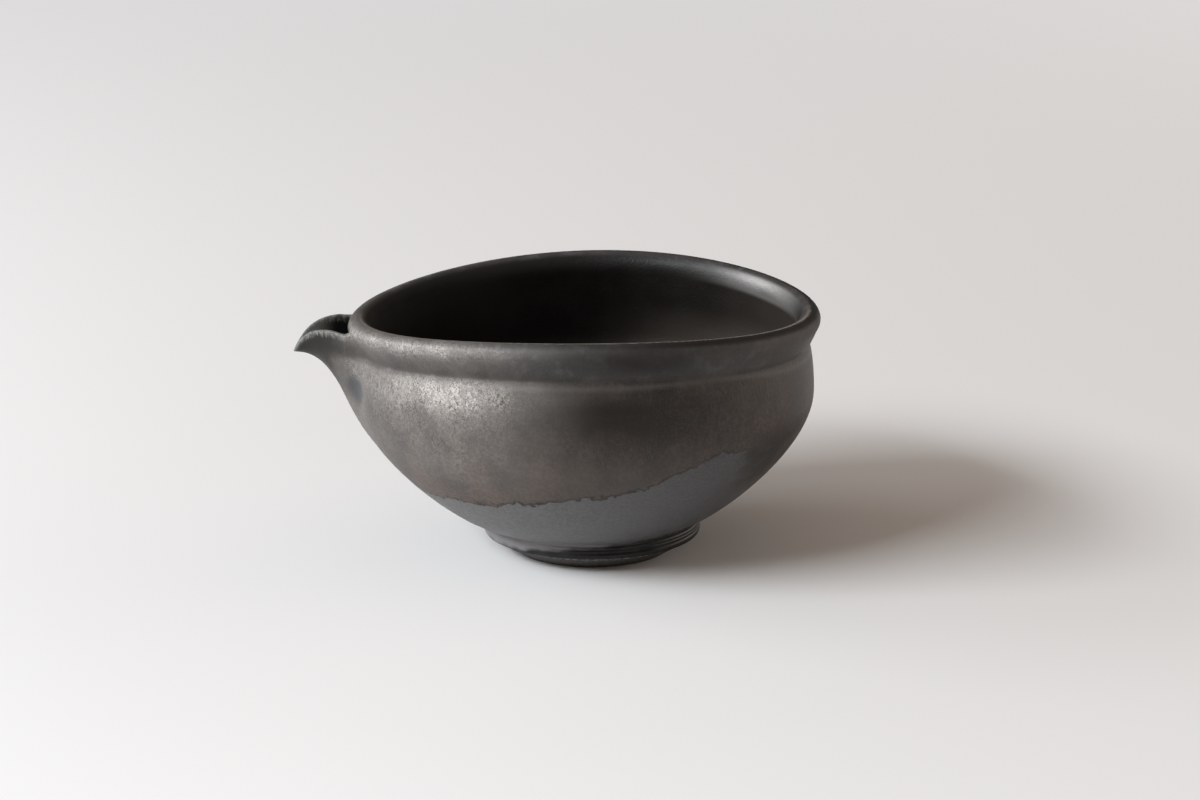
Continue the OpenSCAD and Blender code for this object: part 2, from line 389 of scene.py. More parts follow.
def vessel(p):
    """Rough signed distance to the glazed vessel: bowl, rim, beak and the top of the foot, fused."""
    x, y, z = p[:, 0], p[:, 1], p[:, 2]
    r, z0, _ = thrown(x, y, z)
    shell = outside(r, z0)
    clear = shell.copy()
    foot_r = np.hypot(x - FOOT_X, y)
    ring = np.maximum(foot_r - FOOT_R, RECESS_R - foot_r)
    stub = np.maximum(ring, np.maximum(FOOT_SEAM_Z - z, z - BASE_Z - STUB_H))
    shell = smooth_min(shell, stub, FOOT_BLEND)
    near = x < SPOUT_ROOT_X + BEAK_ZONE
    xn, yn, zn = x[near], y[near], z[near]
    blend = BEAK_BLEND + (BEAK_BLEND_TOP - BEAK_BLEND) * smooth_step(*BLEND_FADE_Z, zn)
    fused = smooth_min(shell[near], beak_outside(xn, yn, zn), blend)
    shell[near] = fused + finger_dimple(xn, yn, zn)
    body = smooth_max(shell, -hollow(r, z0), LIP_EDGE_ROUND)
    trough = np.maximum(beak_trough(xn, yn, zn), TROUGH_TO_WALL - clear[near])
    channel = smooth_min(trough, pour_hole(xn, yn, zn), HOLE_ROUND)
    body[near] = smooth_max(body[near], -channel, BEAK_EDGE_ROUND)
    return body + SKIN


# Meshing
def spaced(*runs):
    parts = [np.arange(a, b, step) for a, b, step in runs]
    return np.concatenate(parts + [[runs[-1][1]]])


# The grid is finer round the beak and the lip
COARSE = 0.66
FINE = 0.40
FINE_TO_X = -55.0
FINE_HALF_Y = 14.0
FINE_FROM_Z = 45.0
MARGIN = 0.9
LO = np.array(cad_box[0]) / MM - MARGIN
HI = np.array(cad_box[1]) / MM + MARGIN
GRID = (
    spaced((LO[0], FINE_TO_X, FINE), (FINE_TO_X, HI[0], COARSE)),
    spaced(
        (LO[1], -FINE_HALF_Y, COARSE),
        (-FINE_HALF_Y, FINE_HALF_Y, FINE),
        (FINE_HALF_Y, HI[1], COARSE),
    ),
    spaced((FOOT_SEAM_Z - MARGIN, FINE_FROM_Z, COARSE), (FINE_FROM_Z, HI[2], FINE)),
)
CORNERS = [(i, j, k) for i in (0, 1) for j in (0, 1) for k in (0, 1)]
LEAST_SLOPE = 0.05
MOST_MOVE = 0.5


def field_on_grid(form, xs, ys, zs):
    y, z = np.meshgrid(ys, zs, indexing="ij")
    values = np.empty((len(xs), len(ys), len(zs)), np.float32)
    for i, x in enumerate(xs):
        points = np.stack([np.full(y.size, x), y.ravel(), z.ravel()], axis=1)
        values[i] = form(points).reshape(y.shape)
    return values


def surface_net(values, xs, ys, zs):
    """Quads on the zero level of a field on a grid, with one point in each cell that it crosses."""
    inside = values < 0
    shape = tuple(n - 1 for n in values.shape)

    def corner(a, i, j, k):
        return a[i:i + shape[0], j:j + shape[1], k:k + shape[2]]

    count = sum(corner(inside, *c).astype(np.int8) for c in CORNERS)
    cells = np.argwhere((count > 0) & (count < 8))
    index = np.full(shape, -1, np.int32)
    index[tuple(cells.T)] = np.arange(len(cells))
    total = np.zeros((len(cells), 3))
    hits = np.zeros(len(cells))
    for a in CORNERS:
        for axis in range(3):
            if a[axis]:
                continue
            b = tuple(v + (n == axis) for n, v in enumerate(a))
            ia, ib = cells + a, cells + b
            va = values[tuple(ia.T)]
            vb = values[tuple(ib.T)]
            crossed = (va < 0) != (vb < 0)
            t = np.where(crossed, va / np.where(crossed, va - vb, 1), 0)[:, None]
            pa = np.stack([xs[ia[:, 0]], ys[ia[:, 1]], zs[ia[:, 2]]], axis=1)
            pb = np.stack([xs[ib[:, 0]], ys[ib[:, 1]], zs[ib[:, 2]]], axis=1)
            total += np.where(crossed[:, None], pa + t * (pb - pa), 0)
            hits += crossed
    points = total / hits[:, None]
    quads = []
    for axis in range(3):
        u, v = (axis + 1) % 3, (axis + 2) % 3
        first = np.swapaxes(inside, 0, axis)[:-1]
        second = np.swapaxes(inside, 0, axis)[1:]
        for leaving in (True, False):
            edges = np.swapaxes((first & ~second) if leaving else (~first & second), 0, axis)
            at = np.argwhere(edges)
            within = (at[:, u] > 0) & (at[:, v] > 0) & (at[:, u] < shape[u]) & (at[:, v] < shape[v])
            at = at[within]
            ring = []
            for du, dv in ((1, 1), (0, 1), (0, 0), (1, 0)):
                cell = at.copy()
                cell[:, u] -= du
                cell[:, v] -= dv
                ring.append(index[tuple(cell.T)])
            ring = np.stack(ring, axis=1)
            quads.append(ring if leaving else ring[:, ::-1])
    return points, np.concatenate(quads)


def gradient(form, p, step=0.04):
    columns = []
    for axis in range(3):
        d = np.zeros(3)
        d[axis] = step
        columns.append((form(p + d) - form(p - d)) / (2 * step))
    return np.stack(columns, axis=1)


def settle(form, p, rounds=4):
    """Points moved onto the zero level of the form."""
    for _ in range(rounds):
        g = gradient(form, p)
        move = form(p)[:, None] * g / np.maximum((g * g).sum(axis=1), LEAST_SLOPE)[:, None]
        p = p - np.clip(move, -MOST_MOVE, MOST_MOVE)
    return p


def new_mesh(name, points, faces):
    mesh = bpy.data.meshes.new(name)
    mesh.from_pydata((points * MM).tolist(), [], faces.tolist())
    mesh.validate()
    mesh.polygons.foreach_set("use_smooth", np.ones(len(mesh.polygons), bool))
    obj = bpy.data.objects.new(name, mesh)
    bpy.context.collection.objects.link(obj)
    return obj


def set_attribute(obj, name, values):
    layer = obj.data.attributes.new(name, "FLOAT", "POINT")
    layer.data.foreach_set("value", values.astype(np.float32))


# Glaze: the bronze glaze ends in a ragged line round the lower wall, and bare lobes reach up into it.
# Angles round the bowl are in degrees from +X, lobes are (angle, half width, height above the line).
GLAZE_LINE_Z = 29.0
GLAZE_TILT = 0.14
BARE_LOBES = ((-53, 16, 6.5), (64, 26, 6.0), (150, 30, 3.0))
RAGGED = 1.0
RAGGED_SIZE = 7.0
# Roughness, spacing and octaves of the noise that makes lines ragged
WAVE = (0.7, 2.1, 3)
PATCH_RAGGED = 0.5
# Patches of the glaze: (angle, half width, middle height as thrown, half height, strength)
# Dark patches are scorch marks, and painted shade under the lip's roll at the front
SCORCH_AND_SHADE_PATCHES = (
    (-83, 27, 53, 9, 0.95),
    (-84, 27, 55.4, 5.2, 1.0),
    # painted shade under the lip's roll
    (-75, 18, 68.6, 4.0, 1.0),
    (-31, 17, 41, 7, 0.75),
    (55, 32, 46, 12, 0.8),
    (118, 20, 40, 9, 0.8),
)
BLEACHED = (
    (-38, 19, 60, 10, 0.35),
    (-36, 24, 71, 2.4, 0.6),
    (-82, 36, 34, 9, 0.65),
    (-96, 18, 61, 3, 0.4),
    (-52, 12, 62.5, 2.2, 0.5),
    (84, 22, 61, 6, 0.4),
)
# Silvery bands on the spout's half, a real lustre with painted sheen where the highlight falls: (middle
# height as thrown, half height, strength, angle on either side where it is strongest, half width)
SILVER_BANDS = (
    (58.7, 4.6, 0.52, 128, 21),
    (71.6, 2.3, 0.42, 146, 26),
)
SILVER_TOP_Z = (64.4, 61.2)
SILVER_AROUND = 0.2
SILVER_ALL_OVER = 0.22
# Painted shade: the far end, away from the light, is darkened below the glaze line as well
FAR_END_SHADE_AT = 0
FAR_END_SHADE_WIDTH = (47, 36)
FAR_END_SHADE_Z = (22, 34)
FAR_END_SHADE_WAVE = 6
COLLAR_Z = 66.5
COLLAR_HALF = 2.6
# Pale line on the shoulder under the groove: glaze breaking paler over it, and painted highlight where it
# faces up into the light
RIDGE_Z = 61.5
RIDGE_HALF = 0.8
# Stretch where the ridge wanders upwards: angle, half width, rise
RIDGE_RISE = (-55, 17, 1.3)
# Painted shade in the groove under the collar
GROOVE_SHADE_Z = 63.7
GROOVE_SHADE_HALF = 0.9
# Line along the lip's inner edge, worn and with painted highlight on the front, and dark band outside it,
# as radius beyond the crest
LIP_LINE_FROM = (-1.1, -0.6)
LIP_LINE_TO = (0.4, 0.0)
CREST_BAND_Z = (72.2, 73.2)
# Painted highlight on the lip's inside, a pale metallic patch where the light is reflected: angle, half
# width, and what the rest of the lip has of it
LIP_SHINE = (28, 16, 0.01)
SHINE_Z = (67, 69.5)
SHINE_DEPTH = (0.4, 1.3)
# Soft transitions run from the first value to the second. By the cosine of the angle round the bowl:
SPOUT_SIDE_COS = (0.1, -0.62)
# Painted light: the slate is lighter towards the spout, on the side the light falls on
SLATE_PAINTED_LIGHT_COS = (0.8, -0.7)
CREST_COS = (0.0, 0.5)
GLOW_COS = (-0.05, 1.0)
GLOW_END_COS = (0.6, 1.0)
INSIDE_SPOUT_COS = (-0.3, -0.9)
MATT_COS = (-0.2, -0.8)
# By the height, mostly as thrown:
SILVER_FROM_Z = (20, 42)
SILVER_AGAIN_Z = (GROOVE_Z + 1, GROOVE_Z + 4)
COOL_Z = (62.5, 65.5)
COOL_LOST_Z = (70, 68)
LIP_FROM_Z = (LIP_Z - 3, LIP_Z)
FRONT_WEAR_AND_HIGHLIGHT_Z = (BOWL_H - 2, BOWL_H - 1)
GLOW_Z = (61, 46)
GLOW_TOP_Z = (BOWL_H - 2, BOWL_H - 6)
BEAK_Z = (50, 60)
# By the place along and across:
ON_WALL_X = (SPOUT_ROOT_X, SPOUT_ROOT_X + 8)
TROUGH_X = (SPOUT_ROOT_X + 8, SPOUT_ROOT_X + 5)
BEAK_X = (SPOUT_ROOT_X + 3, SPOUT_ROOT_X - 7)
BEAK_WAVE = 2
FRONT_WEAR_AND_HIGHLIGHT_Y = (6, -18)
# By the distance from the axis, the lip's ring, the surface or the edge of the beak:
WALL_FROM_R = (5, 40)
SILVER_LIP_R = (LIP_RING_R - 0.5, LIP_RING_R + 1.2)
CREST_FROM = (-0.1, 0.3)
INSIDE_DEPTH = (0.25, 1.6)
MATT_DEPTH = (0.2, 1.2)
TROUGH_EDGE = (0.2, 0.9)
TROUGH_TOP = (1.5, -0.5)
FINGER_EDGE = (0.2, 0.7)
# What is left of a value where it is weakest, and how much another one takes away or adds
SILVER_REST = 0.4
SILVER_LOST_ON_COLLAR = 0.5
COOL_LOST = 0.7
CREST_REST = 0.4
GLOW_REST = 0.14
GLOW_END = 0.25
INSIDE_SPOUT = 0.4
# The beak's own surface lies this far off the bowl's wall, from this far inside its root
OFF_WALL = 0.5
BEAK_FROM_X = SPOUT_ROOT_X + 1


def angle_gap(a, b):
    """Difference between two angles in degrees, from 0 to 180."""
    return np.abs((a - b + 180) % 360 - 180)


def waves(points, size):
    """Values that wander about 0, with features of a size in millimetres."""
    return np.array([noise.fractal(Vector(q) / size, *WAVE) for q in points])


def glaze_fields(p):
    """Values at each point that the glaze is painted by."""
    x, y, z = p.T
    r, z0, c = thrown(x, y, z)
    angle = np.degrees(np.arctan2(y, x - BOWL_X))
    wave = waves(p, RAGGED_SIZE)

    line = GLAZE_LINE_Z + GLAZE_TILT * (x - BOWL_X)
    for at, width, height in BARE_LOBES:
        line = line + height * bell(angle_gap(angle, at), width)

    def patches(places):
        most = np.zeros(len(p))
        for at, width, middle, height, strength in places:
            reach = (angle_gap(angle, at) / width) ** 2 + ((z0 - middle) / height) ** 2
            most = np.maximum(most, strength * np.exp(-reach * (1 + PATCH_RAGGED * wave)))
        return most

    spout_side = smooth_step(*SPOUT_SIDE_COS, c)
    collar = bell(z0 - COLLAR_Z, COLLAR_HALF)
    silver_and_sheen = SILVER_ALL_OVER * smooth_step(*SILVER_FROM_Z, z0) * (1 - SILVER_LOST_ON_COLLAR * collar)
    for middle, height, strength, at, width in SILVER_BANDS:
        facing = at_least(SILVER_AROUND, bell(np.abs(angle) - at, width))
        silver_and_sheen = silver_and_sheen + strength * facing * bell(z0 - middle, height)
    above_top = smooth_step(*SILVER_TOP_Z, z0) + smooth_step(*SILVER_AGAIN_Z, z0)
    silver_and_sheen = silver_and_sheen * at_least(SILVER_REST, above_top)
    silver_and_sheen = silver_and_sheen * smooth_step(*SILVER_LIP_R, r + BOWL_H - z0)

    rise_at, rise_width, rise = RIDGE_RISE
    ridge_z = RIDGE_Z + rise * bell(angle_gap(angle, rise_at), rise_width)
    on_wall = smooth_step(*ON_WALL_X, x)

    pressed = finger_dimple(x, y, z)
    depth = -outside(r, z0) - pressed
    c_wall = c * smooth_step(*WALL_FROM_R, r)
    # Painted light on the inner wall of the far end, where light through the opening falls
    glow = smooth_step(*GLOW_COS, c_wall) * at_least(GLOW_REST, smooth_step(*GLOW_Z, z0))
    glow = glow + GLOW_END * smooth_step(*GLOW_END_COS, c_wall)

    past_crest = r - CREST[0]
    crest = smooth_step(*CREST_BAND_Z, z0) * smooth_step(*CREST_FROM, past_crest)
    lip_wear_and_highlight = smooth_step(*LIP_LINE_FROM, past_crest) * smooth_step(*LIP_LINE_TO, past_crest)
    # On the front the line is wear and painted highlight along the edge seen against the inside
    front_wear_and_highlight = smooth_step(*FRONT_WEAR_AND_HIGHLIGHT_Z, z0) * smooth_step(*FRONT_WEAR_AND_HIGHLIGHT_Y, y)
    shine_at, shine_width, shine_rest = LIP_SHINE
    shine = at_least(shine_rest, bell(angle_gap(angle, shine_at), shine_width))

    past_wall = (x < BEAK_FROM_X) & (outside(r, z0) > OFF_WALL)
    beak = smooth_step(*BEAK_X, x + BEAK_WAVE * wave)
    in_trough = 1 - smooth_step(*TROUGH_EDGE, beak_trough(x, y, z))
    at_beak = smooth_step(*TROUGH_X, x) * smooth_step(*TROUGH_TOP, z - edge_top(x))

    far_end_shade_gap = angle_gap(angle, FAR_END_SHADE_AT) + FAR_END_SHADE_WAVE * wave
    cool_lost = COOL_LOST * spout_side * smooth_step(*COOL_LOST_Z, z0)
    deeper = INSIDE_SPOUT * smooth_step(*INSIDE_SPOUT_COS, c)
    return {
        "above_line": z - line + RAGGED * wave,
        "scorch_and_shade": patches(SCORCH_AND_SHADE_PATCHES),
        "bleached": patches(BLEACHED),
        "silver_and_sheen": spout_side * silver_and_sheen * (1 - beak),
        "spout_side": spout_side,
        "slate_painted_light": smooth_step(*SLATE_PAINTED_LIGHT_COS, c),
        "far_end_shade": smooth_step(*FAR_END_SHADE_WIDTH, far_end_shade_gap) * smooth_step(*FAR_END_SHADE_Z, z),
        "lip": smooth_step(*LIP_FROM_Z, z0),
        "ridge": bell(z0 - ridge_z, RIDGE_HALF) * on_wall,
        "painted_groove_shade": bell(z0 - GROOVE_SHADE_Z, GROOVE_SHADE_HALF) * on_wall,
        "cool": smooth_step(*COOL_Z, z0) * (1 - cool_lost),
        "beak": beak * smooth_step(*BEAK_Z, z),
        "trough": in_trough * at_beak,
        "inside": smooth_step(*INSIDE_DEPTH, depth + deeper),
        "matt": smooth_step(*MATT_DEPTH, depth) * smooth_step(*MATT_COS, c_wall),
        "painted_inside_light": glow * smooth_step(*GLOW_TOP_Z, z0),
        "crest": crest * at_least(CREST_REST, smooth_step(*CREST_COS, c)),
        "painted_lip_highlight": shine * smooth_step(*SHINE_Z, z0) * smooth_step(*SHINE_DEPTH, depth),
        "lip_wear_and_highlight": front_wear_and_highlight * lip_wear_and_highlight,
        "below_edge": np.where(past_wall, edge_top(x) - z, BEAK_BLEND),
        "toward_tip": past_rim(x),
        "finger": smooth_step(*FINGER_EDGE, pressed / DIMPLE_DEPTH),
    }


def make_vessel():
    values = field_on_grid(vessel, *GRID)
    points, quads = surface_net(values, *GRID)
    points = settle(vessel, points)
    obj = new_mesh("glazed_vessel", points, quads)
    for name, values in glaze_fields(points).items():
        set_attribute(obj, name, values)
    return obj


# Foot ring: a lathe-turned profile with tool grooves and a bead where the glaze stops. Grooves are (height,
# depth, half width).
FOOT_GROOVES = ((8.6, 0.30, 0.35), (7.6, 0.22, 0.25), (6.6, 0.32, 0.30))
GROOVED_COS = (-0.8, 0.3)
FOOT_TURNS = 288
FOOT_WALL_STEPS = 36
BEVEL_STEPS = 40
FOOT_LAP = 0.6
BEVEL_ROUND = 0.4
BEVEL_IN = 0.15
BEVEL_FROM = 0.02
BEVEL_END_Z = 0.25
BEAD_R = 31.0
BEAD_H = 0.25
BEAD_W = 0.35
BEAD_OUT = 0.5
BEAD_DOWN = 0.8
# Unevenness of the hand-turned outside: its size, and its pace round the foot and upwards
UNEVEN = 0.07
UNEVEN_ROUND = 2.2
UNEVEN_UP = 0.8
UNEVEN_FROM_R = RECESS_R + 2
UNEVEN_FROM_Z = 0.1
GROOVED_FROM_R = FOOT_R - 0.5
# Height where the slate glaze ends on the foot, and how much lower that is towards the spout
SLATE_END_Z = 8.5
SLATE_END_DROP = 3.8
SLATE_WAVE = 6.0
SLATE_RAGGED = 0.7
# Painted light: the foot's slate is lighter towards the spout, on the side the light falls on
FOOT_PAINTED_LIGHT_COS = (0.4, -0.8)


def foot_profile():
    """Points down the outside, across the contact ring and up the recess, as radius and height."""
    heights = np.linspace(FOOT_SEAM_Z + FOOT_LAP, BEVEL_Z + BEVEL_ROUND, FOOT_WALL_STEPS)
    wall = [(FOOT_R, z) for z in heights]
    bevel = []
    for t in np.linspace(BEVEL_FROM, 1, BEVEL_STEPS):
        r = FOOT_R - BEVEL_IN + (CONTACT_R - FOOT_R + BEVEL_IN) * t
        z = BEVEL_Z + (BEVEL_END_Z - BEVEL_Z) * t
        bead = BEAD_H * bell(r - BEAD_R, BEAD_W)
        bevel.append((r + BEAD_OUT * bead, z - BEAD_DOWN * bead))
    contact = [
        (CONTACT_R - 0.15, 0.06),
        (CONTACT_R - 0.5, 0.0),
        (RECESS_R + 1.0, 0.0),
        (RECESS_R + 0.4, 0.15),
    ]
    recess = [(RECESS_R + 0.05, 0.6), (RECESS_R, 1.2), (RECESS_R, BASE_Z + 0.3)]
    inner = [(FOOT_R - 0.8, BASE_Z + 0.3), (FOOT_R - 0.8, FOOT_SEAM_Z + 0.9)]
    return np.array(wall + bevel + contact + recess + inner)


def make_foot():
    profile = foot_profile()
    n = len(profile)
    points = []
    for k in range(FOOT_TURNS):
        a = 2 * pi * k / FOOT_TURNS
        grooved = smooth_step(*GROOVED_COS, cos(a))
        for r, z in profile:
            if r > UNEVEN_FROM_R and z > UNEVEN_FROM_Z:
                place = Vector((UNEVEN_ROUND * cos(a), UNEVEN_ROUND * sin(a), UNEVEN_UP * z))
                r = r + UNEVEN * noise.noise(place)
            if r > GROOVED_FROM_R:
                r = r - grooved * sum(depth * bell(z - at, width) for at, depth, width in FOOT_GROOVES)
            points.append((FOOT_X + r * cos(a), r * sin(a), z))
    faces = []
    for k in range(FOOT_TURNS):
        m = (k + 1) % FOOT_TURNS
        for i in range(n):
            j = (i + 1) % n
            faces.append((k * n + i, m * n + i, m * n + j, k * n + j))
    points = np.array(points)
    obj = new_mesh("turned_foot", points, np.array(faces))
    c = (points[:, 0] - FOOT_X) / np.hypot(points[:, 0] - FOOT_X, points[:, 1])
    line = SLATE_END_Z + SLATE_END_DROP * c
    ragged = SLATE_RAGGED * waves(points, SLATE_WAVE)
    set_attribute(obj, "above_line", points[:, 2] - line + ragged)
    set_attribute(obj, "slate_painted_light", smooth_step(*FOOT_PAINTED_LIGHT_COS, c))
    return obj


# Materials. Grain is (size in millimetres, detail, stretch).
BLOTCH = (30, 3.0)
RUST = (17, 3.0)
CLOUD = (8, 4.0)
CLUSTER = (4.0, 2.0)
RAGGED_EDGE = (1.8, 3.0)
CRUMB = (1.1, 2.0)
HATCH = (0.6, 2.0, (1, 1, 0.14))
FLECK = (0.42, 1.0)
FOOT_CLOUD = (7, 4.0)
FOOT_CRUMB = (0.9, 2.0)
# Colours, with the dark and the light one where there are two
BRONZE_COLOURS = ((0.0188, 0.0151, 0.0127), (0.0565, 0.0456, 0.039))
RUST_COLOUR = (0.108, 0.072, 0.056)
PIT_COLOUR = (0.012, 0.01, 0.0085)
FLECK_COLOUR = (0.105, 0.094, 0.085)
HATCH_COLOUR = (0.1, 0.09, 0.081)
COOL_COLOUR = (0.043, 0.0435, 0.0455)
MOTTLE_COLOUR = (0.12, 0.122, 0.128)
# Glaze breaking paler, and painted highlight, on the ridge under the groove
RIDGE_BREAK_AND_HIGHLIGHT_COLOUR = (0.115, 0.108, 0.102)
BLEACHED_COLOUR = (0.082, 0.07, 0.061)
# Scorch marks, and painted shade under the lip's roll
SCORCH_AND_SHADE_COLOUR = (0.0068, 0.0042, 0.0031)
# Painted shade in the groove
GROOVE_SHADE_COLOUR = (0.008, 0.0068, 0.006)
BEAK_COLOUR = (0.014, 0.013, 0.012)
# Pale silver lustre, partly painted sheen of the shoulder's highlight
SILVER_AND_SHEEN_COLOUR = (0.54, 0.51, 0.482)
# The light slate colour is painted light on the lit side
SLATE_COLOURS = ((0.058, 0.057, 0.058), (0.163, 0.161, 0.164))
SLATE_PIT_COLOUR = (0.05, 0.05, 0.052)
SLATE_FLECK_COLOUR = (0.19, 0.19, 0.195)
# Painted shade at the far end
FAR_END_SHADE_COLOUR = (0.02, 0.0175, 0.0155)
GLAZE_EDGE_COLOUR = (0.026, 0.0215, 0.0175)
FINGER_COLOUR = (0.062, 0.066, 0.072)
# Black glaze inside, and a lighter colour painted where light falls on the far inner wall
INSIDE_COLOURS = ((0.003, 0.0026, 0.0023), (0.075, 0.062, 0.054))
CREST_COLOUR = (0.005, 0.0045, 0.0043)
TROUGH_COLOURS = ((0.007, 0.0075, 0.0075), (0.17, 0.178, 0.168))
# Painted highlight on the lip's inside
PAINTED_LIP_HIGHLIGHT_COLOUR = (0.36, 0.352, 0.345)
# Worn glaze and painted highlight on the lip's inner edge
LIP_WEAR_AND_HIGHLIGHT_COLOUR = (0.2, 0.176, 0.157)
# Worn glaze and painted highlight under the beak's edge
BEAK_WEAR_AND_HIGHLIGHT_COLOUR = (0.22, 0.218, 0.205)
FOOT_DARK_COLOURS = ((0.005, 0.0048, 0.0046), (0.02, 0.0193, 0.0187))
# The light foot slate colour is painted light on the lit side
FOOT_SLATE_COLOURS = ((0.09, 0.088, 0.09), (0.27, 0.262, 0.268))
CLAY_COLOURS = ((0.04, 0.037, 0.034), (0.075, 0.07, 0.064))
GLINT_COLOUR = (0.4, 0.39, 0.38)
GLAZE_SPECULAR = 0.32
# Heights on the foot between which bare clay begins, and the two ends of the ring of glints above it
BARE_CLAY_Z = (4.75, 4.45)
GLINT_LOW_Z = (4.2, 4.5)
GLINT_HIGH_Z = (5.0, 4.7)


def socket_set(tree, socket, value):
    if isinstance(value, bpy.types.NodeSocket):
        tree.links.new(value, socket)
    elif isinstance(value, tuple) and len(value) == 3 and socket.type == "RGBA":
        socket.default_value = (*value, 1)
    else:
        socket.default_value = value


def add(tree, kind, inputs=None, out=0, **settings):
    node = tree.nodes.new(kind)
    for key, value in settings.items():
        setattr(node, key, value)
    for key, value in (inputs or {}).items():
        socket_set(tree, node.inputs[key], value)
    return node.outputs[out]


def calc(tree, operation, a, b=0.0, c=0.0):
    return add(tree, "ShaderNodeMath", {0: a, 1: b, 2: c}, operation=operation)


def times(tree, a, b):
    return calc(tree, "MULTIPLY", a, b)


def plus(tree, a, b):
    return calc(tree, "ADD", a, b)


def spread(tree, value, low, high, to_low=0.0, to_high=1.0):
    """Value from low to high turned softly into a number from to_low to to_high."""
    inputs = {"Value": value, "From Min": low, "From Max": high, "To Min": to_low, "To Max": to_high}
    return add(tree, "ShaderNodeMapRange", inputs, interpolation_type="SMOOTHSTEP")


def mix_colour(tree, share, a, b):
    node = tree.nodes.new("ShaderNodeMix")
    node.data_type = "RGBA"
    socket_set(tree, node.inputs[0], share)
    socket_set(tree, node.inputs[6], a)
    socket_set(tree, node.inputs[7], b)
    return node.outputs[2]


def painted(tree, colour, layers):
    """Colour with layers laid over it in turn, each a share and a colour."""
    for share, layer in layers:
        colour = mix_colour(tree, share, colour, layer)
    return colour


def attribute(tree, name):
    return add(tree, "ShaderNodeAttribute", attribute_name=name, out=2)


def grain(tree, place, size, detail=2.0, stretch=(1, 1, 1)):
    """Noise between about 0 and 1 with features of a size in millimetres."""
    scale = tuple(s / (size * MM) for s in stretch)
    scaled = add(tree, "ShaderNodeVectorMath", {0: place, 1: scale}, operation="MULTIPLY")
    return add(tree, "ShaderNodeTexNoise", {"Vector": scaled, "Scale": 1.0, "Detail": detail})


def principled(name):
    material = bpy.data.materials.new(name)
    material.use_nodes = True
    tree = material.node_tree
    shader = tree.nodes["Principled BSDF"]
    place = add(tree, "ShaderNodeTexCoord", out=3)
    return material, tree, shader, place


def swing(tree, value, amount):
    """A noise turned into a number that swings about 0."""
    return times(tree, calc(tree, "SUBTRACT", value, 0.5), amount)


